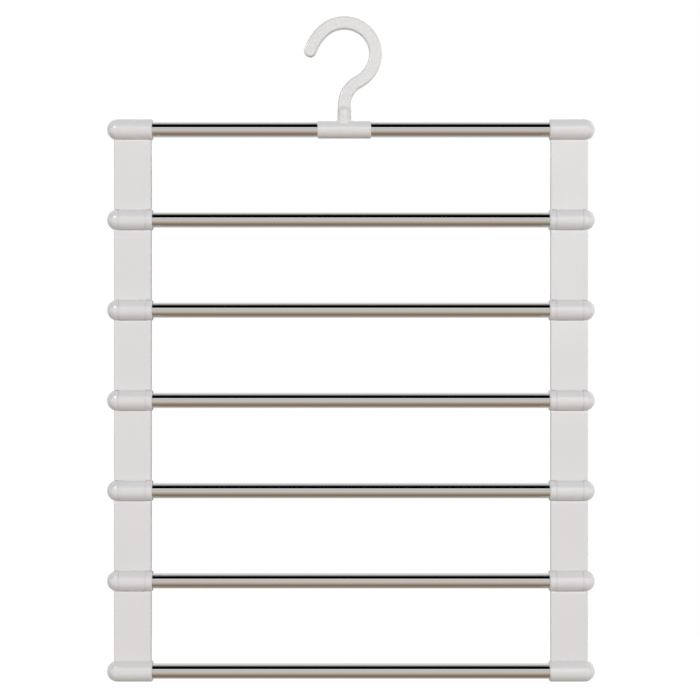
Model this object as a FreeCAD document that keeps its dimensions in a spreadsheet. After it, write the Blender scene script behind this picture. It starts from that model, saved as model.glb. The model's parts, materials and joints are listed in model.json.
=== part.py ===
import FreeCAD, Part
import math
import os

import Sketcher

# A folding trouser hanger: seven metal tubes held between two chains of hinged plastic links,
# under a plastic hook whose sleeve turns on the top tube.
# The origin is the centre of the hook's round, where the wardrobe rail runs along Y.
# +Z is up, +X is to the right as seen from the front, and the front faces -Y.

# Driving dimensions in millimetres, angles in degrees, and dome_bore as a share of the dome's depth
SIZES = {
    # Tubes that carry the trousers
    "bar_count": 7,
    "bar_pitch": 70.3,
    "bar_diameter": 12.0,
    "bar_wall": 0.7,
    "clear_width": 308.8,
    "bar_end_gap": 0.2,
    # Hinged links at the ends of the tubes
    "link_width": 29.0,
    "plate_inset": 1.1,
    "link_thickness": 5.0,
    "link_edge_round": 1.0,
    "barrel_diameter": 16.4,
    "barrel_end_bevel": 0.8,
    "dome_setback": 2.7,
    "dome_bore": 0.72,
    "collar_width": 5.1,
    "dome_arm": 4.0,
    # Fits between the links and the tubes
    "grip_clearance": 0.03,
    "running_clearance": 0.08,
    "tongue_play": 0.1,
    "barrel_gap": 0.15,
    "fold_rest": 30.0,
    "fold_gap": 0.3,
    # Hook and its sleeve
    "hook_inner_radius": 19.3,
    "hook_band": 9.9,
    "hook_thickness": 6.6,
    "hook_edge_round": 1.6,
    "hook_height": 59.0,
    "hook_offset": 5.2,
    "neck_radius": 20.8,
    "tip_radius": 40.0,
    "tip_start": 135.0,
    "tip_end": 160.0,
    "boss_height": 13.5,
    "boss_margin": 0.05,
    "sleeve_length": 41.6,
    "sleeve_wall": 0.75,
    "sleeve_end_bevel": 0.5,
    "root_round": 1.2,
}

document = FreeCAD.newDocument("trouser_hanger")
sheet = document.addObject("Spreadsheet::Sheet", "sizes")
for row, (alias, size) in enumerate(SIZES.items(), start=1):
    sheet.set(f"A{row}", alias)
    sheet.set(f"B{row}", str(size))
    sheet.setAlias(f"B{row}", alias)
document.recompute()

# Radii and half thicknesses
BAR_RADIUS = "(sizes.bar_diameter / 2)"
BARREL_RADIUS = "(sizes.barrel_diameter / 2)"
HALF_LINK = "(sizes.link_thickness / 2)"
GRIP_RADIUS = f"({BAR_RADIUS} + sizes.grip_clearance)"
RUNNING_RADIUS = f"({BAR_RADIUS} + sizes.running_clearance)"
SLEEVE_RADIUS = f"({RUNNING_RADIUS} + sizes.sleeve_wall)"
HALF_BAND = "(sizes.hook_band / 2)"
HOOK_OUTER_RADIUS = "(sizes.hook_inner_radius + sizes.hook_band)"
HOOK_MIDDLE_RADIUS = f"(sizes.hook_inner_radius + {HALF_BAND})"
BOSS_RADIUS = (
    f"(hypot({HALF_BAND} - sizes.hook_edge_round, sizes.hook_thickness / 2 - sizes.hook_edge_round)"
    " + sizes.hook_edge_round + sizes.boss_margin)"
)

# The bevel on a barrel's inner end, kept to half of the wall it sits on
BARREL_BEVEL = f"min(sizes.barrel_end_bevel, ({BARREL_RADIUS} - {GRIP_RADIUS}) / 2)"

# How far a bore runs into a dome: a share of the depth at which it would break through
DOME_BORE = f"(sizes.dome_bore * sqrt({BARREL_RADIUS} ^ 2 - {GRIP_RADIUS} ^ 2))"

# Places along a link, measured outwards from the middle of its tube
INNER_END = "(sizes.clear_width / 2)"
PLATE_START = f"({INNER_END} + sizes.plate_inset)"
OUTER_EDGE = f"({PLATE_START} + sizes.link_width)"
DOME_CENTRE = f"({OUTER_EDGE} - sizes.dome_setback)"
BORE_END = f"({DOME_CENTRE} + {DOME_BORE})"
BAR_END = f"({BORE_END} - sizes.bar_end_gap)"
FORK_START = f"({INNER_END} + sizes.collar_width)"
FORK_END = f"({OUTER_EDGE} - sizes.dome_arm)"
TONGUE_START = f"({FORK_START} + sizes.tongue_play)"
TONGUE_END = f"({FORK_END} - sizes.tongue_play)"

# Round each hinge axis: the room for a barrel that turns past a plate
ROOM_RADIUS = f"({BARREL_RADIUS} + sizes.barrel_gap)"

# Near a hinge axis a plate thins, so that two folded plates keep a gap at the angle left between them
HALF_REST = "(sizes.fold_rest / 2)"
HALF_GAP = "(sizes.fold_gap / 2)"
THINS_FROM = f"(({HALF_LINK} * cos({HALF_REST}) + {HALF_GAP}) / sin({HALF_REST}))"
PLATE_END = f"({BAR_RADIUS} - sizes.bar_wall)"
PLATE_END_HALF = f"(({PLATE_END} * sin({HALF_REST}) - {HALF_GAP}) / cos({HALF_REST}))"

ACROSS = FreeCAD.Vector(1, 0, 0)
DEEP = FreeCAD.Vector(0, 1, 0)
UP = FreeCAD.Vector(0, 0, 1)
ALONG_TOLERANCE = 1e-6
PLACE_TOLERANCE = 1e-4
EDGE_SAMPLES = 5


def value(expression):
    """Work out a size from the sheet."""
    return float(sheet.evalExpression(expression.replace("sizes.", "")))


def bind(thing, expressions):
    """Tie the named properties of an object to the sheet."""
    for path, expression in expressions.items():
        thing.setExpression(path, expression)


def new_body(label, place, turned=False):
    """Start a sub-part at a place given by expressions, turned half round if asked."""
    body = document.addObject("PartDesign::Body", "Body")
    body.Label = label
    angle = 180 if turned else 0
    body.Placement = FreeCAD.Placement(FreeCAD.Vector(), FreeCAD.Rotation(UP, angle))
    bind(body, {f"Placement.Base.{axis}": expression for axis, expression in place.items()})
    return body


def new_sketch(body, name, plane, offset=None):
    """Attach a sketch to one of the body's own planes, moved by expressions."""
    sketch = body.newObject("Sketcher::SketchObject", name)
    support = next(part for part in body.Origin.OriginFeatures if part.Role == plane)
    sketch.AttachmentSupport = (support, [""])
    sketch.MapMode = "FlatFace"
    bind(sketch, {f"AttachmentOffset.Base.{axis}": text for axis, text in (offset or {}).items()})
    return sketch


def pin(sketch, name, kind, geometry, corner, expression):
    """Hold one coordinate of a point of the sketch at an expression."""
    constraint = Sketcher.Constraint(kind, -1, 1, geometry, corner, value(expression))
    row = sketch.addConstraint(constraint)
    sketch.renameConstraint(row, name)
    sketch.setExpression(f"Constraints.{name}", expression)


def size_circle(sketch, name, geometry, expression):
    """Set the radius of a circle or an arc by an expression."""
    row = sketch.addConstraint(Sketcher.Constraint("Radius", geometry, value(expression)))
    sketch.renameConstraint(row, name)
    sketch.setExpression(f"Constraints.{name}", expression)


def arc_between(centre, radius, first, last):
    """Make an arc that runs anticlockwise between two angles in radians."""
    return Part.ArcOfCircle(Part.Circle(centre, UP, radius), first, last)


def angle_of(point, centre):
    """Give the direction of a point from a centre in radians."""
    return math.atan2(point.y - centre.y, point.x - centre.x)


def trace(sketch, steps):
    """Draw a closed outline. Each step ends at a point, by a line or clockwise round a centre."""
    ends = [FreeCAD.Vector(value(step[0]), value(step[1]), 0) for step in steps]
    joins = []
    for index, step in enumerate(steps):
        start = ends[index - 1]
        end = ends[index]
        if len(step) == 2:
            geometry = sketch.addGeometry(Part.LineSegment(start, end))
            joins.append(((geometry, 1), (geometry, 2)))
            continue
        centre = FreeCAD.Vector(value(step[2]), value(step[3]), 0)
        arc = arc_between(centre, centre.distanceToPoint(end), angle_of(end, centre), angle_of(start, centre))
        geometry = sketch.addGeometry(arc)
        joins.append(((geometry, 2), (geometry, 1)))
    for index, step in enumerate(steps):
        geometry, corner = joins[index][1]
        following = joins[(index + 1) % len(steps)][0]
        sketch.addConstraint(Sketcher.Constraint("Coincident", geometry, corner, *following))
        pin(sketch, f"across_{index}", "DistanceX", geometry, corner, step[0])
        pin(sketch, f"up_{index}", "DistanceY", geometry, corner, step[1])
        if len(step) > 2:
            pin(sketch, f"centre_{index}", "DistanceY", geometry, 3, step[3])


def add_circle(sketch, name, radius):
    """Draw a circle round the sketch's origin."""
    circle = Part.Circle(FreeCAD.Vector(), UP, value(radius))
    geometry = sketch.addGeometry(circle)
    sketch.addConstraint(Sketcher.Constraint("Coincident", geometry, 3, -1, 1))
    size_circle(sketch, name, geometry, radius)


def pad(body, name, sketch, length, side="One side"):
    """Extrude a sketch along its normal."""
    feature = body.newObject("PartDesign::Pad", name)
    feature.Profile = sketch
    feature.SideType = side
    bind(feature, {"Length": length})
    document.recompute()
    return feature


def revolve(body, name, sketch, axis):
    """Turn a sketch round one of its own axes."""
    feature = body.newObject("PartDesign::Revolution", name)
    feature.Profile = sketch
    feature.ReferenceAxis = (sketch, [axis])
    feature.Angle = 360
    document.recompute()
    return feature


def pocket(body, name, sketch, length=None, forwards=True):
    """Cut a sketch out of the body, along its normal or against it, and through all without a length."""
    before = body.Shape.Volume
    feature = body.newObject("PartDesign::Pocket", name)
    feature.Profile = sketch
    feature.Reversed = forwards
    if length is None:
        feature.Type = "ThroughAll"
    else:
        bind(feature, {"Length": length})
    document.recompute()
    if body.Shape.Volume >= before:
        raise RuntimeError(f"{body.Label}: {name} cuts nothing")
    return feature


def fillet(body, name, radius, wanted):
    """Round the edges of the body that pass a test."""
    base = body.Tip
    edges = [f"Edge{n}" for n, edge in enumerate(base.Shape.Edges, start=1) if wanted(edge)]
    if not edges:
        raise RuntimeError(f"{body.Label}: {name} finds no edge")
    feature = body.newObject("PartDesign::Fillet", name)
    feature.Base = (base, edges)
    bind(feature, {"Radius": radius})
    document.recompute()
    return feature


def runs_along(edge, axis):
    """Say whether an edge is straight and parallel to an axis."""
    if edge.Degenerated or edge.Curve.TypeId != "Part::GeomLine":
        return False
    return edge.Curve.Direction.cross(axis).Length < ALONG_TOLERANCE


def bar_height(number):
    """Give the height of a tube's axis, counted from 1 at the top."""
    return f"(-sizes.hook_height - {number - 1} * sizes.bar_pitch)"


def make_bar(number):
    """Make one open-ended metal tube."""
    body = new_body(f"bar_{number}", {"x": "sizes.hook_offset", "z": bar_height(number)})
    ring = new_sketch(body, "ring", "YZ_Plane")
    add_circle(ring, "outside", BAR_RADIUS)
    add_circle(ring, "inside", f"{BAR_RADIUS} - sizes.bar_wall")
    pad(body, "tube", ring, f"2 * {BAR_END}", side="Symmetric")
    return body


def add_capsule(body, name, height):
    """Add a full barrel: a bevelled inner end, a straight stretch and a domed outer end."""
    sketch = new_sketch(body, f"{name}_outline", "XZ_Plane", {"y": height})
    trace(sketch, [
        (INNER_END, "0"),
        (INNER_END, f"{BARREL_RADIUS} - {BARREL_BEVEL}"),
        (f"{INNER_END} + {BARREL_BEVEL}", BARREL_RADIUS),
        (DOME_CENTRE, BARREL_RADIUS),
        (f"{DOME_CENTRE} + {BARREL_RADIUS}", "0", DOME_CENTRE, "0"),
    ])
    revolve(body, name, sketch, "H_Axis")


def add_tongue(body, height):
    """Add the knuckle that fits between the two arms of the next link's fork."""
    sketch = new_sketch(body, "tongue_outline", "YZ_Plane", {"y": height, "z": TONGUE_START})
    add_circle(sketch, "outside", BARREL_RADIUS)
    pad(body, "tongue", sketch, f"{TONGUE_END} - {TONGUE_START}")


def cut_fork(body):
    """Cut the room for the upper link's tongue, so that a collar and a domed arm are left."""
    sketch = new_sketch(body, "fork_outline", "YZ_Plane", {"z": FORK_START})
    add_circle(sketch, "room", ROOM_RADIUS)
    pocket(body, "fork", sketch, f"{FORK_END} - {FORK_START}")


def cut_beside_tongue(body, height):
    """Cut the link's lower corners back from the collar and the domed arm of the next fork."""
    inner = new_sketch(body, "inner_corner_outline", "YZ_Plane", {"y": height, "z": TONGUE_START})
    add_circle(inner, "room", ROOM_RADIUS)
    pocket(body, "inner_corner", inner, forwards=False)
    outer = new_sketch(body, "outer_corner_outline", "YZ_Plane", {"y": height, "z": TONGUE_END})
    add_circle(outer, "room", ROOM_RADIUS)
    pocket(body, "outer_corner", outer)


def bore(body, name, height, radius, length=None):
    """Bore a barrel for its tube from the inner end."""
    sketch = new_sketch(body, f"{name}_outline", "YZ_Plane", {"y": height, "z": INNER_END})
    add_circle(sketch, "wall", radius)
    pocket(body, name, sketch, length)


def make_link(side, number, last):
    """Make one link between tube number and the tube below it."""
    turned = side == "left"
    body = new_body(f"{side}_link_{number}", {"x": "sizes.hook_offset", "z": bar_height(number)}, turned)
    lower = "(-sizes.bar_pitch)"

    outline = new_sketch(body, "plate_outline", "YZ_Plane", {"z": PLATE_START})
    trace(outline, [
        (f"-{PLATE_END_HALF}", f"{lower} + {PLATE_END}"),
        (PLATE_END_HALF, f"{lower} + {PLATE_END}"),
        (HALF_LINK, f"{lower} + {THINS_FROM}"),
        (HALF_LINK, f"-{THINS_FROM}"),
        (PLATE_END_HALF, f"-{PLATE_END}"),
        (f"-{PLATE_END_HALF}", f"-{PLATE_END}"),
        (f"-{HALF_LINK}", f"-{THINS_FROM}"),
        (f"-{HALF_LINK}", f"{lower} + {THINS_FROM}"),
    ])
    pad(body, "plate", outline, "sizes.link_width")
    fillet(
        body, "long_edges", "sizes.link_edge_round",
        lambda edge: not runs_along(edge, ACROSS) and not runs_along(edge, DEEP),
    )

    add_capsule(body, "upper_barrel", "0")
    if number > 1:
        cut_fork(body)
    if number < last:
        add_tongue(body, lower)
        cut_beside_tongue(body, lower)
        bore(body, "running_bore", lower, RUNNING_RADIUS)
    else:
        add_capsule(body, "lower_barrel", lower)
        bore(body, "lower_grip", lower, GRIP_RADIUS, f"{BORE_END} - {INNER_END}")
    bore(body, "upper_grip", "0", GRIP_RADIUS, f"{BORE_END} - {INNER_END}")
    return body


def trace_hook(sketch):
    """Draw the hook's flat outline: a stem, a neck that leans over, the round and a wider tip."""
    band = value(HALF_BAND)
    middle = value(HOOK_MIDDLE_RADIUS)
    neck = value("sizes.neck_radius")
    tip = value("sizes.tip_radius")
    start = math.radians(value("sizes.tip_start"))
    end = math.radians(value("sizes.tip_end"))
    foot = -value("sizes.hook_height")

    origin = FreeCAD.Vector()
    neck_centre = FreeCAD.Vector(neck, -math.sqrt((middle + neck) ** 2 - neck ** 2), 0)
    neck_angle = angle_of(origin, neck_centre)
    round_start = angle_of(neck_centre, origin)
    tip_centre = FreeCAD.Vector(math.cos(start), math.sin(start), 0) * (middle - tip)
    tip_end = tip_centre + FreeCAD.Vector(math.cos(end), math.sin(end), 0) * tip

    left_foot = FreeCAD.Vector(-band, foot, 0)
    left_top = FreeCAD.Vector(-band, neck_centre.y, 0)
    right_top = FreeCAD.Vector(band, neck_centre.y, 0)
    right_foot = FreeCAD.Vector(band, foot, 0)
    left_stem = sketch.addGeometry(Part.LineSegment(left_foot, left_top))
    left_neck = sketch.addGeometry(arc_between(neck_centre, neck + band, neck_angle, math.pi))
    inner_round = sketch.addGeometry(arc_between(origin, middle - band, round_start, start))
    inner_tip = sketch.addGeometry(arc_between(tip_centre, tip - band, start, end))
    tip_round = sketch.addGeometry(arc_between(tip_end, band, end, end + math.pi))
    outer_tip = sketch.addGeometry(arc_between(tip_centre, tip + band, start, end))
    outer_round = sketch.addGeometry(arc_between(origin, middle + band, round_start, start))
    right_neck = sketch.addGeometry(arc_between(neck_centre, neck - band, neck_angle, math.pi))
    right_stem = sketch.addGeometry(Part.LineSegment(right_top, right_foot))
    foot_line = sketch.addGeometry(Part.LineSegment(right_foot, left_foot))

    for joint in (
        (left_stem, 2, left_neck, 2),
        (left_neck, 1, inner_round, 1),
        (inner_round, 2, inner_tip, 1),
        (inner_tip, 2, tip_round, 2),
        (tip_round, 1, outer_tip, 2),
        (outer_tip, 1, outer_round, 2),
        (outer_round, 1, right_neck, 1),
        (right_neck, 2, right_stem, 1),
    ):
        sketch.addConstraint(Sketcher.Constraint("Tangent", *joint))
    for constraint in (
        ("Coincident", right_stem, 2, foot_line, 1),
        ("Coincident", foot_line, 2, left_stem, 1),
        ("Vertical", left_stem),
        ("Vertical", right_stem),
        ("Horizontal", foot_line),
        ("Coincident", inner_round, 3, -1, 1),
        ("Coincident", outer_round, 3, -1, 1),
        ("Coincident", left_neck, 3, right_neck, 3),
        ("Coincident", inner_tip, 3, outer_tip, 3),
    ):
        sketch.addConstraint(Sketcher.Constraint(*constraint))

    size_circle(sketch, "inside_of_round", inner_round, "sizes.hook_inner_radius")
    size_circle(sketch, "outside_of_round", outer_round, HOOK_OUTER_RADIUS)
    size_circle(sketch, "outside_of_neck", left_neck, f"sizes.neck_radius + {HALF_BAND}")
    size_circle(sketch, "inside_of_tip", inner_tip, f"sizes.tip_radius - {HALF_BAND}")
    pin(sketch, "stem_side", "DistanceX", left_stem, 1, f"-{HALF_BAND}")
    pin(sketch, "stem_foot", "DistanceY", left_stem, 1, "-sizes.hook_height")
    pin(sketch, "tip_begins", "DistanceY", inner_round, 2, "sizes.hook_inner_radius * sin(sizes.tip_start)")
    pin(
        sketch, "tip_stops", "DistanceY", tip_round, 3,
        f"({HOOK_MIDDLE_RADIUS} - sizes.tip_radius) * sin(sizes.tip_start)"
        " + sizes.tip_radius * sin(sizes.tip_end)",
    )


def make_hook():
    """Make the hook, its round boss and its sleeve in one moulding."""
    body = new_body("hook", {})
    outline = new_sketch(body, "hook_outline", "XZ_Plane")
    trace_hook(outline)
    pad(body, "band", outline, "sizes.hook_thickness", side="Symmetric")

    half = value("sizes.hook_thickness / 2")
    foot = -value("sizes.hook_height")

    def on_face(edge):
        middle = edge.CenterOfMass
        in_face = abs(abs(middle.y) - half) < PLACE_TOLERANCE
        return in_face and abs(middle.z - foot) > PLACE_TOLERANCE

    fillet(body, "face_edges", "sizes.hook_edge_round", on_face)

    axis_height = "(-sizes.hook_height)"
    boss_top = f"({axis_height} + sizes.boss_height)"
    boss_outline = new_sketch(body, "boss_outline", "XZ_Plane")
    trace(boss_outline, [
        ("0", axis_height),
        ("0", f"{boss_top} + {BOSS_RADIUS}"),
        (BOSS_RADIUS, boss_top, "0", boss_top),
        (BOSS_RADIUS, axis_height),
    ])
    revolve(body, "boss", boss_outline, "V_Axis")

    half_sleeve = "(sizes.sleeve_length / 2)"
    bevel_radius = f"({SLEEVE_RADIUS} - sizes.sleeve_end_bevel)"
    bevel_place = f"({half_sleeve} - sizes.sleeve_end_bevel)"
    sleeve_outline = new_sketch(body, "sleeve_outline", "XZ_Plane", {"y": axis_height})
    trace(sleeve_outline, [
        (f"-{half_sleeve}", "0"),
        (f"-{half_sleeve}", bevel_radius),
        (f"-{bevel_place}", SLEEVE_RADIUS),
        (bevel_place, SLEEVE_RADIUS),
        (half_sleeve, bevel_radius),
        (half_sleeve, "0"),
    ])
    revolve(body, "sleeve", sleeve_outline, "H_Axis")

    boss_radius = value(BOSS_RADIUS)
    sleeve_radius = value(SLEEVE_RADIUS)

    def at_root(edge):
        points = edge.discretize(EDGE_SAMPLES)
        return all(
            abs(math.hypot(point.x, point.y) - boss_radius) < PLACE_TOLERANCE
            and abs(math.hypot(point.y, point.z - foot) - sleeve_radius) < PLACE_TOLERANCE
            for point in points
        )

    fillet(body, "root", "sizes.root_round", at_root)

    hole = new_sketch(body, "sleeve_hole", "YZ_Plane", {"y": axis_height, "z": f"-{half_sleeve}"})
    add_circle(hole, "wall", RUNNING_RADIUS)
    pocket(body, "sleeve_bore", hole, "sizes.sleeve_length")
    return body


def main():
    """Build every sub-part, check the document and write one file for each sub-part."""
    bars = int(value("sizes.bar_count"))
    pieces = [make_hook()]
    pieces += [make_bar(number) for number in range(1, bars + 1)]
    for side in ("left", "right"):
        pieces += [make_link(side, number, bars - 1) for number in range(1, bars)]
    document.recompute()

    for thing in document.Objects:
        if "Invalid" in thing.State or "Error" in thing.State:
            raise RuntimeError(f"{thing.Label} did not build: {thing.State}")
    for piece in pieces:
        if piece.Shape.isNull() or not piece.Shape.isValid() or len(piece.Shape.Solids) != 1:
            raise RuntimeError(f"{piece.Label} is not one sound solid")

    os.makedirs("parts", exist_ok=True)
    for piece in pieces:
        piece.Shape.exportStep(f"parts/{piece.Label}.step")


main()
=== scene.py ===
"""Folding trouser hanger: polished tubes, hinged white links, a turning hook and a plain studio."""

import json
import math

import bpy
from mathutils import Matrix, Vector

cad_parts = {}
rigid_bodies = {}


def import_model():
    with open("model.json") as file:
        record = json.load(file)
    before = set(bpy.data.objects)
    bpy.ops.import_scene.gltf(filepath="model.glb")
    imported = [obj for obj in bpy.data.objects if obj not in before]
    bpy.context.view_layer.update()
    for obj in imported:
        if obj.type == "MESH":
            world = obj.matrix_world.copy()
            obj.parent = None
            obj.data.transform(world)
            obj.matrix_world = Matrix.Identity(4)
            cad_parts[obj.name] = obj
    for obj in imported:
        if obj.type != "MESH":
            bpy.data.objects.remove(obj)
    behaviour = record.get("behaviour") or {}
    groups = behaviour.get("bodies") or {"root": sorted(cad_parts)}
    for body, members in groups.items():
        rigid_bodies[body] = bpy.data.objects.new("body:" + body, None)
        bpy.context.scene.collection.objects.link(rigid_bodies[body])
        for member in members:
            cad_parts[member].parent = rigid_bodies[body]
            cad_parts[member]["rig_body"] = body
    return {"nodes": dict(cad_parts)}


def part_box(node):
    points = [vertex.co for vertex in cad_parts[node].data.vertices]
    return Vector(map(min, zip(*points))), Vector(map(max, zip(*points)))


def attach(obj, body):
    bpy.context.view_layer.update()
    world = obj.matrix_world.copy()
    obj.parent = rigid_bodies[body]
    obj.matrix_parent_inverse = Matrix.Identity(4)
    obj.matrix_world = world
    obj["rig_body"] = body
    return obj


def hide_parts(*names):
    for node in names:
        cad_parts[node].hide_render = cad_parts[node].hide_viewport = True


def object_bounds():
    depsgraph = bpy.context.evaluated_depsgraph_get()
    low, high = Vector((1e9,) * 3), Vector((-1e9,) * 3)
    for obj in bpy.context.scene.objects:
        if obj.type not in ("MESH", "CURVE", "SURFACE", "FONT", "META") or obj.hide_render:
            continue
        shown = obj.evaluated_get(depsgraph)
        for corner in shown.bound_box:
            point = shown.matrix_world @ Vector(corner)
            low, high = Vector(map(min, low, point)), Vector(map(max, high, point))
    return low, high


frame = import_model()
CAD_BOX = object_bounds()

bl_info = {
    "name": "Folding Trouser Hanger",
    "version": (1, 0, 0),
    "blender": (4, 5, 0),
    "location": "View3D > Sidebar > Hanger",
    "description": "Models the tubes, links and hook of a folding trouser hanger and its studio",
    "category": "Add Mesh",
}

MM = 0.001
TUBE_COUNT = sum(name.startswith("bar_") for name in frame["nodes"])
LINK_COUNT = TUBE_COUNT - 1
SIDES = ("left", "right")

# Directions to turn about, and how closely faces and points are picked and merged.
FACE_ON = (0, 1, 0)
ALONG = (1, 0, 0)
FACING = 0.9
MERGE_DISTANCE = 1e-6
PLACE_TOLERANCE = 1e-5

# How near to a tube's axis a plate runs into its barrel, as a share of the tube's radius.
PLATE_REACH = 0.88

# How finely roundings and bends are divided, and how they are shaded.
RIM_SEGMENTS = 2
EDGE_SEGMENTS = 6
SECTION_SEGMENTS = 8
SECTION_CUTS = 7
DOME_STEPS = 24
NECK_STEPS = 20
ROUND_STEPS = 72
TIP_STEPS = 12
TIP_END_STEPS = 32
TAPER_STEPS = 8
FLARE_STEPS = 6
TUBE_SMOOTH = math.radians(40)
PLASTIC_SMOOTH = math.radians(35)
FLAT_WEIGHT = 100

# Finishes: the range and detail of noise, refractive index, noise scales per metre, spreads
# about the set values, and depths.
TEXTURE_MIDDLE = (0.3, 0.7)
SMUDGE_DETAIL = 4.0
FINE_DETAIL = 2.0
PLASTIC_GLOSS = 1.75
PLASTIC_SMUDGES = 35.0
PLASTIC_SPECKS = 1400.0
PLASTIC_CLOUD = 0.015
PLASTIC_UNEVEN = 0.04
PLASTIC_GRAIN = 0.02 * MM
STEEL_SMUDGES = 60.0
STEEL_CLOUD = 0.02
STEEL_UNEVEN = (0.8, 1.3)
DRAWN_SCALE = (6.0, 2600.0, 2600.0)
DRAWN_STRENGTH = 0.05
DRAWN_DEPTH = 0.01 * MM

# The studio: sizes and places in metres, across, back and up.
FLOOR_SIZE = 12
FLOOR_ROUGHNESS = 0.9
FLOOR_WHITE = 0.9
TUNNEL_RADIUS = 3
TUNNEL_LENGTH = 20
TUNNEL_FACETS = 128
HIDDEN_RAYS = ("camera", "diffuse", "transmission", "volume_scatter", "shadow")
CARD_BACK = 1.7
CARD_DROP = 0.09
CARD_SIZE = (1, 2.2, 0.8)
# Colours of the card that paints shade on the links' inner edges by reflection: grey on the right,
# black on the left.
CARD_RIGHT_GREY = (0.25, 0.25, 0.25, 1.0)
BLACK = (0.0, 0.0, 0.0, 1.0)
WHITE = (1.0, 1.0, 1.0, 1.0)
GLINT_LAMP = "glint_lamp"
LAMPS = (
    ("front_lamp", (1.0, -4.3, 0.9), (3.0, 2.5), "front_power"),
    ("left_lamp", (-2.5, -1.7, 0.3), (1.0, 1.0), "left_power"),
    ("right_lamp", (2.5, 0.0, -0.23), (0.02, 1.0), "right_power"),
    (GLINT_LAMP, (-0.53, -0.63, 0.29), (0.26, 0.3), "glint_power"),
    ("back_lamp", (-0.9, 2.4, 0.4), (1.8, 1.5), "back_power"),
)

# Brightness of the reflection cards, by their angle in degrees: 0 is level in front, 90 overhead.
CARDS_BEHIND = (1.1, 1.1, 1.1)
CARDS = (
    (-132, (0.85, 0.82, 0.79)),
    (-108, (0.52, 0.45, 0.38)),
    (-86, (0.38, 0.30, 0.22)),
    (-70, (0.33, 0.25, 0.17)),
    (-54, (0.46, 0.37, 0.26)),
    (-36, (0.74, 0.63, 0.50)),
    (-20, (0.84, 0.79, 0.73)),
    (-4, (0.98, 0.97, 0.95)),
    (4, (0.84, 0.84, 0.83)),
    (17, (0.82, 0.82, 0.82)),
    (26, (1.10, 1.10, 1.09)),
    (33, (1.10, 1.10, 1.09)),
    (36, (0.00, 0.00, 0.00)),
    (77, (0.00, 0.00, 0.00)),
    (85, (0.36, 0.35, 0.34)),
    (100, (0.70, 0.69, 0.67)),
    (115, (1.10, 1.10, 1.10)),
)


def node_centre(node):
    """Give the middle of a CAD node's box."""
    low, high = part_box(node)
    return (low + high) / 2


def node_size(node):
    """Give the length, depth and height of a CAD node's box."""
    low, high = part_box(node)
    return high - low


class HangerTubeSettings(bpy.types.PropertyGroup):
    """Sizes and finish of the metal tubes."""

    diameter: bpy.props.FloatProperty(
        name="Diameter", description="Outside of a tube", default=12.0 * MM, unit="LENGTH")
    wall: bpy.props.FloatProperty(
        name="Wall", description="Thickness of a tube's wall", default=0.7 * MM, unit="LENGTH")
    end_round: bpy.props.FloatProperty(
        name="End Round", description="Rounding of a tube's cut ends",
        default=0.15 * MM, unit="LENGTH")
    facets: bpy.props.IntProperty(
        name="Facets", description="Flat strips round a tube", default=96, min=24)
    colour: bpy.props.FloatVectorProperty(
        name="Colour", description="Colour of the polished steel",
        default=(0.58, 0.575, 0.57), subtype="COLOR")
    roughness: bpy.props.FloatProperty(
        name="Roughness", description="Blur of the polish",
        default=0.045, min=0.0, max=1.0, subtype="FACTOR")


class HangerLinkSettings(bpy.types.PropertyGroup):
    """Sizes of the hinged links."""

    width: bpy.props.FloatProperty(
        name="Width", description="Width of a link's plate", default=29.0 * MM, unit="LENGTH")
    thickness: bpy.props.FloatProperty(
        name="Thickness", description="Thickness of a link's plate",
        default=5.0 * MM, unit="LENGTH")
    plate_inset: bpy.props.FloatProperty(
        name="Plate Inset", description="From a barrel's inner end to the plate",
        default=1.1 * MM, unit="LENGTH")
    edge_round: bpy.props.FloatProperty(
        name="Edge Round", description="Rounding of a plate's long edges",
        default=1.0 * MM, unit="LENGTH")
    barrel_diameter: bpy.props.FloatProperty(
        name="Barrel", description="Outside of the barrels round a tube",
        default=16.4 * MM, unit="LENGTH")
    end_bevel: bpy.props.FloatProperty(
        name="End Bevel", description="Bevel on a barrel's inner end",
        default=0.8 * MM, unit="LENGTH")
    knuckle_round: bpy.props.FloatProperty(
        name="Knuckle Round", description="Softened edges between knuckles",
        default=0.08 * MM, unit="LENGTH")
    dome_setback: bpy.props.FloatProperty(
        name="Dome Setback", description="From the outer edge in to the dome's centre",
        default=2.7 * MM, unit="LENGTH")
    dome_bore: bpy.props.FloatProperty(
        name="Dome Bore", description="How far the bore runs past the dome's centre",
        default=4.0 * MM, unit="LENGTH")
    collar_width: bpy.props.FloatProperty(
        name="Collar", description="Width of a fork's inner collar",
        default=5.1 * MM, unit="LENGTH")
    arm_width: bpy.props.FloatProperty(
        name="Arm", description="Width of a fork's domed arm under its dome",
        default=4.0 * MM, unit="LENGTH")
    knuckle_play: bpy.props.FloatProperty(
        name="Knuckle Play", description="Gap at each side of a knuckle",
        default=0.1 * MM, unit="LENGTH")
    barrel_gap: bpy.props.FloatProperty(
        name="Barrel Gap", description="Gap between a barrel and the next plate",
        default=0.15 * MM, unit="LENGTH")
    fold_rest: bpy.props.FloatProperty(
        name="Fold Rest", description="Angle left between two folded links",
        default=math.radians(30), subtype="ANGLE")
    fold_gap: bpy.props.FloatProperty(
        name="Fold Gap", description="Gap between two folded plates at their hinge",
        default=0.3 * MM, unit="LENGTH")
    grip: bpy.props.FloatProperty(
        name="Grip", description="Gap between a tube and the link that holds it",
        default=0.03 * MM, unit="LENGTH")
    running: bpy.props.FloatProperty(
        name="Running Fit", description="Gap between a tube and what turns on it",
        default=0.08 * MM, unit="LENGTH")
    facets: bpy.props.IntProperty(
        name="Facets", description="Flat strips round a barrel", default=96, min=24)


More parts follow.
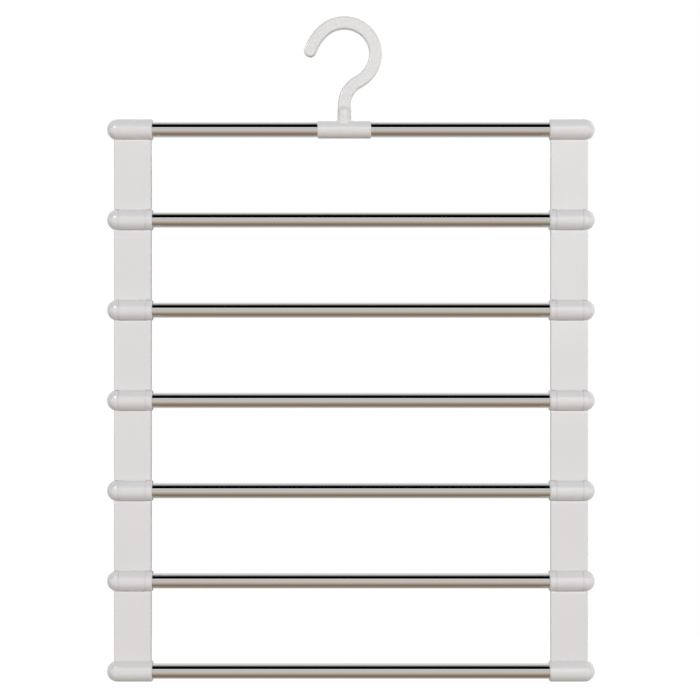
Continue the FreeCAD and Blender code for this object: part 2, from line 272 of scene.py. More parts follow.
class HangerHookSettings(bpy.types.PropertyGroup):
    """Sizes of the hook, its boss and its sleeve."""

    inner_radius: bpy.props.FloatProperty(
        name="Inside Radius", description="Inside of the round that sits on the rail",
        default=19.3 * MM, unit="LENGTH")
    band: bpy.props.FloatProperty(
        name="Band", description="Width of the hook's band", default=9.9 * MM, unit="LENGTH")
    thickness: bpy.props.FloatProperty(
        name="Thickness", description="Thickness of the hook's band",
        default=6.6 * MM, unit="LENGTH")
    edge_round: bpy.props.FloatProperty(
        name="Edge Round", description="Rounding of the band's edges",
        default=1.6 * MM, unit="LENGTH")
    neck_radius: bpy.props.FloatProperty(
        name="Neck Radius", description="Bend of the neck, at the band's middle",
        default=20.8 * MM, unit="LENGTH")
    tip_radius: bpy.props.FloatProperty(
        name="Tip Radius", description="Bend of the open tip, at the band's middle",
        default=40.0 * MM, unit="LENGTH")
    tip_start: bpy.props.FloatProperty(
        name="Tip Start", description="Where the round opens into the tip",
        default=math.radians(135), subtype="ANGLE")
    tip_end: bpy.props.FloatProperty(
        name="Tip End", description="Where the tip stops",
        default=math.radians(160), subtype="ANGLE")
    boss_radius: bpy.props.FloatProperty(
        name="Boss Radius", description="Outside of the boss under the neck",
        default=5.41 * MM, unit="LENGTH")
    boss_height: bpy.props.FloatProperty(
        name="Boss Height", description="From the tube's axis to where the boss tapers",
        default=14.5 * MM, unit="LENGTH")
    boss_taper: bpy.props.FloatProperty(
        name="Boss Taper", description="Height over which the boss runs out into the band",
        default=4.5 * MM, unit="LENGTH")
    sleeve_length: bpy.props.FloatProperty(
        name="Sleeve", description="Length of the sleeve on the top tube",
        default=41.6 * MM, unit="LENGTH")
    sleeve_wall: bpy.props.FloatProperty(
        name="Sleeve Wall", description="Thickness of the sleeve's wall",
        default=0.75 * MM, unit="LENGTH")
    sleeve_bevel: bpy.props.FloatProperty(
        name="Sleeve Bevel", description="Bevel on the sleeve's ends",
        default=0.5 * MM, unit="LENGTH")
    root_round: bpy.props.FloatProperty(
        name="Root Round", description="Flare where the boss meets the sleeve",
        default=1.2 * MM, unit="LENGTH")


class HangerPlasticSettings(bpy.types.PropertyGroup):
    """Colour and finish of the white plastic."""

    colour: bpy.props.FloatVectorProperty(
        name="Colour", description="Colour of the moulded plastic",
        default=(0.675, 0.667, 0.671), subtype="COLOR")
    roughness: bpy.props.FloatProperty(
        name="Roughness", description="Gloss of the moulded plastic",
        default=0.14, min=0.0, max=1.0,
        subtype="FACTOR")
    texture: bpy.props.FloatProperty(
        name="Texture", description="Strength of the fine moulded surface",
        default=0.01, min=0.0, max=1.0,
        subtype="FACTOR")


class HangerStageSettings(bpy.types.PropertyGroup):
    """Camera, lamps and surroundings of the studio."""

    camera_distance: bpy.props.FloatProperty(
        name="Camera Distance", description="From the camera to the hanger",
        default=1.3, unit="LENGTH")
    view_width: bpy.props.FloatProperty(
        name="View Width", description="Width of the view at the hanger",
        default=545.65 * MM, unit="LENGTH")
    view_across: bpy.props.FloatProperty(
        name="View Across", description="Where the view is centred, sideways",
        default=4.46 * MM, unit="LENGTH")
    view_height: bpy.props.FloatProperty(
        name="View Height", description="Where the view is centred, upwards",
        default=-230.6 * MM, unit="LENGTH")
    front_power: bpy.props.FloatProperty(
        name="Front Lamp", description="Power of the soft front lamp", default=176.0, unit="POWER")
    left_power: bpy.props.FloatProperty(
        name="Left Lamp", description="Power of the soft lamp at the left",
        default=22.0, unit="POWER")
    right_power: bpy.props.FloatProperty(
        name="Right Lamp", description="Power of the narrow lamp at the right",
        default=15.0, unit="POWER")
    glint_power: bpy.props.FloatProperty(
        name="Glint Lamp", description="Power of the small lamp that only glints on the domes",
        default=1.4, unit="POWER")
    back_power: bpy.props.FloatProperty(
        name="Back Lamp", description="Power of the soft lamp behind", default=45.0, unit="POWER")
    back_light: bpy.props.FloatVectorProperty(
        name="Back Light", description="Soft light from behind",
        default=(0.42, 0.42, 0.42), subtype="COLOR")
    front_light: bpy.props.FloatVectorProperty(
        name="Front Light", description="Soft light from the front",
        default=(0.03, 0.03, 0.03), subtype="COLOR")
    floor_colour: bpy.props.FloatVectorProperty(
        name="Floor", description="Light that the floor throws back",
        default=(0.31, 0.268, 0.23), subtype="COLOR")
    floor_drop: bpy.props.FloatProperty(
        name="Floor Drop", description="From the lowest barrel down to the floor",
        default=1.0, unit="LENGTH")


SETTINGS = {
    "hanger_tubes": HangerTubeSettings,
    "hanger_links": HangerLinkSettings,
    "hanger_hook": HangerHookSettings,
    "hanger_plastic": HangerPlasticSettings,
    "hanger_stage": HangerStageSettings,
}


def deselect_all():
    """Leave nothing selected, so that an operator acts on the new piece alone."""
    bpy.ops.object.select_all(action="DESELECT")


def make_active(piece):
    """Select one object alone."""
    deselect_all()
    piece.select_set(True)
    bpy.context.view_layer.objects.active = piece


def start_point(name, start):
    """Start a piece as one point, left selected in edit mode."""
    deselect_all()
    bpy.ops.mesh.primitive_plane_add(size=MM, location=start)
    piece = bpy.context.object
    piece.name = name
    bpy.ops.object.transform_apply(location=True, rotation=True, scale=True)
    bpy.ops.object.mode_set(mode="EDIT")
    bpy.ops.mesh.select_all(action="SELECT")
    bpy.ops.mesh.merge(type="CENTER")
    return piece


def pick(piece, kind, wanted):
    """Select the faces or edges that pass a test, and stay in edit mode."""
    bpy.ops.object.mode_set(mode="EDIT")
    bpy.ops.mesh.select_mode(type=kind)
    bpy.ops.mesh.select_all(action="DESELECT")
    bpy.ops.object.mode_set(mode="OBJECT")
    for part in piece.data.polygons if kind == "FACE" else piece.data.edges:
        part.select = wanted(part)
    bpy.ops.object.mode_set(mode="EDIT")


def pull(offset):
    """Extrude what is selected along an offset."""
    bpy.ops.mesh.extrude_region_move(TRANSFORM_OT_translate={"value": offset})


def close_seams():
    """Merge the points that a trace or a spin leaves on top of each other."""
    bpy.ops.mesh.select_all(action="SELECT")
    bpy.ops.mesh.remove_doubles(threshold=MERGE_DISTANCE)


def finish_solid():
    """Merge seams, turn the faces outwards and leave edit mode."""
    close_seams()
    bpy.ops.mesh.normals_make_consistent(inside=False)
    bpy.ops.object.mode_set(mode="OBJECT")


def turned_solid(name, start, steps, axis_height, facets):
    """Trace a profile of lines and arcs above an axis along X, and spin it full round."""
    piece = start_point(name, start)
    for step in steps:
        if len(step) == 2:
            pull((step[0], 0, step[1]))
        else:
            centre, angle, divisions = step
            bpy.ops.mesh.spin(steps=divisions, angle=angle, center=centre, axis=FACE_ON)
    bpy.ops.mesh.select_all(action="SELECT")
    bpy.ops.mesh.spin(steps=facets, angle=2 * math.pi, center=(0, 0, axis_height), axis=ALONG)
    finish_solid()
    return piece


def combine(piece, tool, operation):
    """Join a tool to a piece, or cut it away, and remove the tool."""
    make_active(piece)
    modifier = piece.modifiers.new(operation.title(), "BOOLEAN")
    modifier.operation = operation
    modifier.solver = "EXACT"
    modifier.object = tool
    bpy.ops.object.modifier_apply(modifier=modifier.name)
    bpy.data.objects.remove(tool)
    bpy.ops.object.mode_set(mode="EDIT")
    close_seams()
    bpy.ops.mesh.dissolve_degenerate(threshold=MERGE_DISTANCE)
    bpy.ops.object.mode_set(mode="OBJECT")


def smooth(piece, angle):
    """Shade a piece smooth up to an angle, with broad faces kept flat."""
    make_active(piece)
    bpy.ops.object.shade_smooth_by_angle(angle=angle)
    modifier = piece.modifiers.new("Face Weights", "WEIGHTED_NORMAL")
    modifier.keep_sharp = True
    modifier.weight = FLAT_WEIGHT
    bpy.ops.object.modifier_apply(modifier=modifier.name)


def copy_of(piece, offset, turn, centre):
    """Copy a piece with its own mesh, turned about an upright line and moved."""
    make_active(piece)
    bpy.ops.object.duplicate(linked=False)
    twin = bpy.context.object
    bpy.context.scene.cursor.location = centre
    bpy.ops.object.origin_set(type="ORIGIN_CURSOR")
    twin.rotation_euler = (0, 0, turn)
    twin.location = Vector(centre) + Vector(offset)
    bpy.ops.object.transform_apply(location=True, rotation=True, scale=True)
    return twin


def place(piece, node, material):
    """Let a piece stand for a CAD node and finish."""
    piece.name = f"visual_{node}"
    piece.data.name = piece.name
    piece.data.materials.clear()
    piece.data.materials.append(material)
    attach(piece, frame["nodes"][node]["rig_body"])
    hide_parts(node)


def add_node(tree, kind, label, place_at):
    """Add a labelled shader node."""
    node = tree.nodes.new(kind)
    node.label = label
    node.location = place_at
    return node


def handling_group():
    """Build the faint smudges and specks that both finishes share."""
    group = bpy.data.node_groups.new("Handling Marks", "ShaderNodeTree")
    for name, way in (
        ("Smudge Size", "INPUT"), ("Speck Size", "INPUT"),
        ("Smudges", "OUTPUT"), ("Specks", "OUTPUT"),
    ):
        group.interface.new_socket(name, in_out=way, socket_type="NodeSocketFloat")
    inputs = add_node(group, "NodeGroupInput", "Inputs", (-600, 0))
    outputs = add_node(group, "NodeGroupOutput", "Outputs", (400, 0))
    place_on = add_node(group, "ShaderNodeTexCoord", "Place", (-600, 200))
    smudges = add_node(group, "ShaderNodeTexNoise", "Smudges", (-200, 150))
    smudges.inputs["Detail"].default_value = SMUDGE_DETAIL
    specks = add_node(group, "ShaderNodeTexNoise", "Specks", (-200, -150))
    specks.inputs["Detail"].default_value = FINE_DETAIL
    links = group.links
    links.new(place_on.outputs["Object"], smudges.inputs["Vector"])
    links.new(place_on.outputs["Object"], specks.inputs["Vector"])
    links.new(inputs.outputs["Smudge Size"], smudges.inputs["Scale"])
    links.new(inputs.outputs["Speck Size"], specks.inputs["Scale"])
    links.new(smudges.outputs["Fac"], outputs.inputs["Smudges"])
    links.new(specks.outputs["Fac"], outputs.inputs["Specks"])
    return group


def shared_handling_group():
    """Give the group of marks, built once."""
    return bpy.data.node_groups.get("Handling Marks") or handling_group()


def range_node(tree, label, low, high, place_at):
    """Add a node that maps a texture's middle range to two values."""
    node = add_node(tree, "ShaderNodeMapRange", label, place_at)
    node.inputs["From Min"].default_value, node.inputs["From Max"].default_value = TEXTURE_MIDDLE
    node.inputs["To Min"].default_value = low
    node.inputs["To Max"].default_value = high
    return node


def new_material(name):
    """Start a material and give its tree and shader."""
    material = bpy.data.materials.new(name)
    material.use_nodes = True
    tree = material.node_tree
    return material, tree, tree.nodes["Principled BSDF"]


def moulded_plastic(settings):
    """Make the half-gloss white plastic with its fine moulded surface."""
    material, tree, shader = new_material("Moulded White Plastic")
    links = tree.links
    shader.inputs["IOR"].default_value = PLASTIC_GLOSS
    marks = add_node(tree, "ShaderNodeGroup", "Handling Marks", (-900, 0))
    marks.node_tree = shared_handling_group()
    marks.inputs["Smudge Size"].default_value = PLASTIC_SMUDGES
    marks.inputs["Speck Size"].default_value = PLASTIC_SPECKS

    tint = add_node(tree, "ShaderNodeMix", "Cloudy Tint", (-400, 300))
    tint.data_type = "RGBA"
    base = Vector(settings.colour)
    tint.inputs["A"].default_value = (*(base * (1 - PLASTIC_CLOUD)), 1.0)
    tint.inputs["B"].default_value = (*(base * (1 + PLASTIC_CLOUD)), 1.0)
    links.new(marks.outputs["Smudges"], tint.inputs["Factor"])
    links.new(tint.outputs["Result"], shader.inputs["Base Color"])

    gloss = range_node(
        tree, "Uneven Gloss",
        settings.roughness - PLASTIC_UNEVEN, settings.roughness + PLASTIC_UNEVEN, (-400, 0))
    links.new(marks.outputs["Smudges"], gloss.inputs["Value"])
    links.new(gloss.outputs["Result"], shader.inputs["Roughness"])

    grain = add_node(tree, "ShaderNodeBump", "Moulded Grain", (-400, -300))
    grain.inputs["Strength"].default_value = settings.texture
    grain.inputs["Distance"].default_value = PLASTIC_GRAIN
    links.new(marks.outputs["Specks"], grain.inputs["Height"])
    links.new(grain.outputs["Normal"], shader.inputs["Normal"])
    return material


def polished_steel(settings):
    """Make the polished tube with faint drawing lines along it."""
    material, tree, shader = new_material("Polished Steel Tube")
    links = tree.links
    shader.inputs["Metallic"].default_value = 1.0
    marks = add_node(tree, "ShaderNodeGroup", "Handling Marks", (-900, 0))
    marks.node_tree = shared_handling_group()
    marks.inputs["Smudge Size"].default_value = STEEL_SMUDGES

    tint = add_node(tree, "ShaderNodeMix", "Polish Tint", (-400, 300))
    tint.data_type = "RGBA"
    base = Vector(settings.colour)
    tint.inputs["A"].default_value = (*(base * (1 - STEEL_CLOUD)), 1.0)
    tint.inputs["B"].default_value = (*base, 1.0)
    links.new(marks.outputs["Smudges"], tint.inputs["Factor"])
    links.new(tint.outputs["Result"], shader.inputs["Base Color"])

    finest, coarsest = (settings.roughness * share for share in STEEL_UNEVEN)
    blur = range_node(tree, "Uneven Polish", finest, coarsest, (-400, 0))
    links.new(marks.outputs["Smudges"], blur.inputs["Value"])
    links.new(blur.outputs["Result"], shader.inputs["Roughness"])

    position = add_node(tree, "ShaderNodeTexCoord", "Place", (-1300, -300))
    stretch = add_node(tree, "ShaderNodeMapping", "Along The Tube", (-1100, -300))
    stretch.inputs["Scale"].default_value = DRAWN_SCALE
    lines = add_node(tree, "ShaderNodeTexNoise", "Drawing Lines", (-900, -300))
    lines.inputs["Scale"].default_value = 1.0
    lines.inputs["Detail"].default_value = FINE_DETAIL
    drawn = add_node(tree, "ShaderNodeBump", "Drawn Surface", (-400, -300))
    drawn.inputs["Strength"].default_value = DRAWN_STRENGTH
    drawn.inputs["Distance"].default_value = DRAWN_DEPTH
    links.new(position.outputs["Object"], stretch.inputs["Vector"])
    links.new(stretch.outputs["Vector"], lines.inputs["Vector"])
    links.new(lines.outputs["Fac"], drawn.inputs["Height"])
    links.new(drawn.outputs["Normal"], shader.inputs["Normal"])
    return material


def reflected_glow(card, name):
    """Show a card in reflections alone, and give the tree and the glow of its new material."""
    for ray in HIDDEN_RAYS:
        setattr(card, f"visible_{ray}", False)
    material = bpy.data.materials.new(name)
    material.use_nodes = True
    material.cycles.emission_sampling = "NONE"
    card.data.materials.append(material)
    tree = material.node_tree
    tree.nodes.clear()
    glow = add_node(tree, "ShaderNodeEmission", "Glow", (300, 0))
    output = add_node(tree, "ShaderNodeOutputMaterial", "Output", (500, 0))
    tree.links.new(glow.outputs["Emission"], output.inputs["Surface"])
    return tree, glow


def shared_plastic(scene):
    """Give the white plastic, built once."""
    return bpy.data.materials.get("Moulded White Plastic") or moulded_plastic(scene.hanger_plastic)


class HANGER_OT_tubes(bpy.types.Operator):
    """Model the seven polished tubes"""

    bl_idname = "hanger.tubes"
    bl_label = "Polished Tubes"

    def execute(self, context):
        settings = context.scene.hanger_tubes
        material = polished_steel(settings)
        for number in range(1, TUBE_COUNT + 1):
            node = f"bar_{number}"
            tube = self.tube(settings, node_centre(node), node_size(node).x)
            smooth(tube, TUBE_SMOOTH)
            place(tube, node, material)
        return {"FINISHED"}

    @staticmethod
    def tube(settings, centre, length):
        """Hollow a rod from end to end and soften its cut rims."""
        radius = settings.diameter / 2
        deselect_all()
        bpy.ops.mesh.primitive_cylinder_add(
            vertices=settings.facets, radius=radius, depth=length, end_fill_type="NGON",
            location=centre, rotation=(0, math.pi / 2, 0))
        tube = bpy.context.object
        bpy.ops.object.transform_apply(location=True, rotation=True, scale=True)
        pick(tube, "FACE", lambda face: abs(face.normal.x) > FACING)
        bpy.ops.mesh.inset(thickness=settings.wall, use_even_offset=True, use_individual=True)
        bpy.ops.mesh.bridge_edge_loops()

        def on_outer_rim(edge):
            ends = [tube.data.vertices[index].co - centre for index in edge.vertices]
            at_end = all(abs(abs(end.x) - length / 2) < PLACE_TOLERANCE for end in ends)
            outside = all(math.hypot(end.y, end.z) > radius - settings.wall / 2 for end in ends)
            return at_end and outside

        pick(tube, "EDGE", on_outer_rim)
        bpy.ops.mesh.bevel(offset=settings.end_round, segments=RIM_SEGMENTS, affect="EDGES")
        bpy.ops.mesh.select_mode(type="VERT")
        finish_solid()
        return tube


class HANGER_OT_links(bpy.types.Operator):
    """Model the twelve hinged links"""

    bl_idname = "hanger.links"
    bl_label = "Hinged Links"

    def execute(self, context):
        settings = context.scene.hanger_links
        tube_radius = context.scene.hanger_tubes.diameter / 2
        material = shared_plastic(context.scene)
        middle = node_centre("bar_1")
        patterns = {}
        for number in range(1, LINK_COUNT + 1):
            kind = {1: "top", LINK_COUNT: "bottom"}.get(number, "middle")
            axis = node_centre(f"bar_{number}").z
            if kind not in patterns:
                pattern = self.link(settings, tube_radius, axis, number)
                smooth(pattern, PLASTIC_SMOOTH)
                patterns[kind] = (pattern, axis)
            pattern, pattern_axis = patterns[kind]
            for side in SIDES:
                turn = math.pi if side == "left" else 0.0
                node = f"{side}_link_{number}"
                centre = (middle.x, middle.y, pattern_axis)
                twin = copy_of(pattern, (0, 0, axis - pattern_axis), turn, centre)
                place(twin, node, material)
        for pattern, _ in patterns.values():
            bpy.data.objects.remove(pattern)
        return {"FINISHED"}

    def link(self, settings, tube_radius, axis, number):
        """Join a notched plate to its barrels and bore them for the tubes."""
        self.settings = settings
        self.radius = settings.barrel_diameter / 2
        self.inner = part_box("right_link_1")[0].x
        self.plate_start = self.inner + settings.plate_inset
        self.outer = self.plate_start + settings.width
        self.dome = self.outer - settings.dome_setback
        self.fork = (self.inner + settings.collar_width, self.outer - settings.arm_width)
        self.knuckle = (self.fork[0] + settings.knuckle_play, self.fork[1] - settings.knuckle_play)
        lower = node_centre(f"bar_{number + 1}").z
        last = number == LINK_COUNT
        beside = 2 * settings.width

        plate = self.plate(tube_radius, axis, lower)
        if number > 1:
            combine(plate, self.room(self.fork, axis), "DIFFERENCE")
            combine(plate, self.collar(axis), "UNION")
            combine(plate, self.domed_barrel(axis, self.fork[1], settings.knuckle_round), "UNION")
        else:
            combine(plate, self.domed_barrel(axis, self.inner, settings.end_bevel), "UNION")
        if last:
            combine(plate, self.domed_barrel(lower, self.inner, settings.end_bevel), "UNION")
        else:
            combine(plate, self.room((self.inner - beside, self.knuckle[0]), lower), "DIFFERENCE")
            combine(plate, self.room((self.knuckle[1], self.outer + beside), lower), "DIFFERENCE")
            combine(plate, self.tongue(lower), "UNION")

        grip = tube_radius + settings.grip
        bore_end = self.dome + settings.dome_bore
        combine(plate, self.bore(axis, grip, bore_end), "DIFFERENCE")
        if last:
            combine(plate, self.bore(lower, grip, bore_end), "DIFFERENCE")
        else:
            running = tube_radius + settings.running
            combine(plate, self.bore(lower, running, self.outer + beside), "DIFFERENCE")
        return plate

    def plate(self, tube_radius, upper, lower):
        """Scale a cube to the plate, thin it towards both hinges and round its long edges."""
        settings = self.settings
        half = settings.thickness / 2
        lean = settings.fold_rest / 2
        gap = settings.fold_gap / 2
        thins_from = (half * math.cos(lean) + gap) / math.sin(lean)
        end = tube_radius * PLATE_REACH
        end_half = (end * math.sin(lean) - gap) / math.cos(lean)
        deselect_all()
        bpy.ops.mesh.primitive_cube_add(
            size=1, location=((self.plate_start + self.outer) / 2, 0, (upper + lower) / 2),
            scale=(settings.width, settings.thickness, upper - lower - 2 * thins_from))
        plate = bpy.context.object
        bpy.ops.object.transform_apply(location=True, rotation=True, scale=True)
        for side in (-1, 1):
            pick(plate, "FACE", lambda face: face.normal.z * side > FACING)
            pull((0, 0, side * (thins_from - end)))
            bpy.ops.transform.resize(value=(1, end_half / half, 1), center_override=(0, 0, 0))

        def rises(edge):
            low, high = (plate.data.vertices[index].co.z for index in edge.vertices)
            return abs(high - low) > PLACE_TOLERANCE

        pick(plate, "EDGE", rises)
        bpy.ops.mesh.bevel(offset=settings.edge_round, segments=EDGE_SEGMENTS, affect="EDGES")
        bpy.ops.mesh.select_mode(type="VERT")
        finish_solid()
        return plate

    def room(self, across, axis):
        """Make the tool that cuts a plate back from a barrel that turns past it."""
        radius = self.radius + self.settings.barrel_gap
        return turned_solid("room", (across[0], 0, axis), [
            (0, radius),
            (across[1] - across[0], 0),
            (0, -radius),
        ], axis, self.settings.facets)

    def collar(self, axis):
        """Turn the inner collar of a fork."""
        settings = self.settings
        round_off = settings.knuckle_round
        bevel = settings.end_bevel
        return turned_solid("collar", (self.inner, 0, axis), [
            (0, self.radius - bevel),
            (bevel, bevel),
            (settings.collar_width - bevel - round_off, 0),
            (round_off, -round_off),
            (0, round_off - self.radius),
        ], axis, settings.facets)

    def domed_barrel(self, axis, start, bevel):
        """Turn a barrel from its bevelled end to its dome."""
        return turned_solid("domed_barrel", (start, 0, axis), [
            (0, self.radius - bevel),
            (bevel, bevel),
            (self.dome - start - bevel, 0),
            ((self.dome, 0, axis), -math.pi / 2, DOME_STEPS),
        ], axis, self.settings.facets)

    def tongue(self, axis):
        """Turn the knuckle that sits between the collar and the domed arm."""
        round_off = self.settings.knuckle_round
        start, stop = self.knuckle
        return turned_solid("tongue", (start, 0, axis), [
            (0, self.radius - round_off),
            (round_off, round_off),
            (stop - start - 2 * round_off, 0),
            (round_off, -round_off),
            (0, round_off - self.radius),
        ], axis, self.settings.facets)

    def bore(self, axis, radius, end):
        """Make the tool that bores a barrel for its tube."""
        start = self.inner - self.settings.width
        return turned_solid("bore", (start, 0, axis), [
            (0, radius),
            (end - start, 0),
            (0, -radius),
        ], axis, self.settings.facets)


class HANGER_OT_hook(bpy.types.Operator):
    """Model the hook with its boss and sleeve"""

    bl_idname = "hanger.hook"
    bl_label = "Turning Hook"

    def execute(self, context):
        settings = context.scene.hanger_hook
        tube_radius = context.scene.hanger_tubes.diameter / 2
        running = tube_radius + context.scene.hanger_links.running
        axis = node_centre("bar_1").z
        facets = context.scene.hanger_links.facets
        sleeve_radius = running + settings.sleeve_wall
        hook = self.band(settings, axis)
        self.boss(hook, settings, axis, axis + sleeve_radius)
        combine(hook, self.sleeve(settings, axis, sleeve_radius, facets), "UNION")
        combine(hook, self.bore(settings, axis, running, facets), "DIFFERENCE")
        smooth(hook, PLASTIC_SMOOTH)
        place(hook, "hook", shared_plastic(context.scene))
        return {"FINISHED"}

    @staticmethod
    def band(settings, axis):
        """Sweep a rounded section up the stem and round to the tip, and leave its foot open."""
        foot = axis + settings.boss_height + settings.boss_taper
        middle = settings.inner_radius + settings.band / 2
        neck_drop = math.sqrt((middle + settings.neck_radius) ** 2 - settings.neck_radius ** 2)
        neck_bend = math.acos(settings.neck_radius / (middle + settings.neck_radius))
        tip_shift = middle - settings.tip_radius
        tip_centre = tip_shift * Vector(
            (math.cos(settings.tip_start), 0, math.sin(settings.tip_start)))
        outward = Vector((math.cos(settings.tip_end), 0, math.sin(settings.tip_end)))
        tip_end = tip_centre + settings.tip_radius * outward

        deselect_all()
        bpy.ops.mesh.primitive_plane_add(size=1, location=(0, 0, foot))
        hook = bpy.context.object
        hook.scale = (settings.band, settings.thickness, 1)
        bpy.ops.object.transform_apply(location=True, rotation=True, scale=True)
        bpy.ops.object.mode_set(mode="EDIT")
        bpy.ops.mesh.select_mode(type="VERT")
        bpy.ops.mesh.select_all(action="SELECT")
        bpy.ops.mesh.bevel(offset=settings.edge_round, segments=SECTION_SEGMENTS, affect="VERTICES")
        bpy.ops.mesh.delete(type="ONLY_FACE")
        bpy.ops.mesh.select_mode(type="EDGE")
        bpy.ops.object.mode_set(mode="OBJECT")
        for edge in hook.data.edges:
            ends = [hook.data.vertices[index].co for index in edge.vertices]
            edge.select = (ends[0] - ends[1]).length > settings.edge_round
        bpy.ops.object.mode_set(mode="EDIT")
        bpy.ops.mesh.subdivide(number_cuts=SECTION_CUTS)
        bpy.ops.mesh.select_all(action="SELECT")
        pull((0, 0, -neck_drop - foot))
        bpy.ops.mesh.spin(
            steps=NECK_STEPS, angle=-neck_bend,
            center=(settings.neck_radius, 0, -neck_drop), axis=FACE_ON)
        bpy.ops.mesh.spin(
            steps=ROUND_STEPS, angle=neck_bend + settings.tip_start,
            center=(0, 0, 0), axis=FACE_ON)
        bpy.ops.mesh.spin(
            steps=TIP_STEPS, angle=settings.tip_end - settings.tip_start,
            center=tip_centre, axis=FACE_ON)
        bpy.ops.object.mode_set(mode="OBJECT")
        points = hook.data.vertices
        for edge in hook.data.edges:
            sides = [(points[index].co - tip_end).dot(outward) for index in edge.vertices]
            edge.select = edge.select and min(sides) > -PLACE_TOLERANCE
        for point in points:
            point.select = False
        bpy.ops.object.mode_set(mode="EDIT")
        bpy.ops.mesh.spin(steps=TIP_END_STEPS, angle=math.pi, center=tip_end, axis=FACE_ON)
        bpy.ops.mesh.select_mode(type="VERT")
        finish_solid()
        return hook

    @staticmethod
    def boss(hook, settings, axis, sleeve_top):
        """Draw the stem's open end down to a round boss that flares at the sleeve."""
        radius = settings.boss_radius
        flare = settings.root_round
        height = axis + settings.boss_height + settings.boss_taper
        ring = [math.hypot(point.co.x, point.co.y) for point in hook.data.vertices
                if abs(point.co.z - height) < PLACE_TOLERANCE]
        growth = radius * len(ring) / sum(ring)
        bpy.ops.object.mode_set(mode="EDIT")
        bpy.ops.mesh.select_all(action="DESELECT")
        bpy.ops.mesh.select_mode(type="EDGE")
        bpy.ops.mesh.select_non_manifold()
        rounded = 0.0
        for step in range(1, TAPER_STEPS + 1):
            share = (1 - math.cos(math.pi * step / TAPER_STEPS)) / 2
            height -= settings.boss_taper / TAPER_STEPS
            centre = (0, 0, height)
            pull((0, 0, -settings.boss_taper / TAPER_STEPS))
            bpy.ops.transform.tosphere(
                value=(share - rounded) / (1 - rounded), center_override=centre)
            widen = growth ** (share - rounded)
            bpy.ops.transform.resize(value=(widen, widen, 1), center_override=centre)
            rounded = share
        pull((0, 0, sleeve_top + flare - height))
        reach, drop = radius, 0.0
        for step in range(1, FLARE_STEPS + 1):
            turn = math.pi / 2 * step / FLARE_STEPS
            pull((0, 0, drop - flare * math.sin(turn)))
            drop = flare * math.sin(turn)
            wider = radius + flare * (1 - math.cos(turn))
            bpy.ops.transform.resize(
                value=(wider / reach, 1, 1), center_override=(0, 0, sleeve_top + flare - drop))
            reach = wider
        pull((0, 0, axis - sleeve_top))
        bpy.ops.mesh.edge_face_add()
        bpy.ops.mesh.select_mode(type="VERT")
        finish_solid()

    @staticmethod
    def sleeve(settings, axis, radius, facets):
        """Turn the sleeve with its bevelled ends."""
        bevel = settings.sleeve_bevel
        return turned_solid("sleeve", (-settings.sleeve_length / 2, 0, axis), [
            (0, radius - bevel),
            (bevel, bevel),
            (settings.sleeve_length - 2 * bevel, 0),
            (bevel, -bevel),
            (0, bevel - radius),
        ], axis, facets)

    @staticmethod
    def bore(settings, axis, radius, facets):
        """Make the tool that bores the sleeve for its tube."""
        length = 2 * settings.sleeve_length
        return turned_solid("bore", (-length / 2, 0, axis), [
            (0, radius),
            (length, 0),
            (0, -radius),
        ], axis, facets)


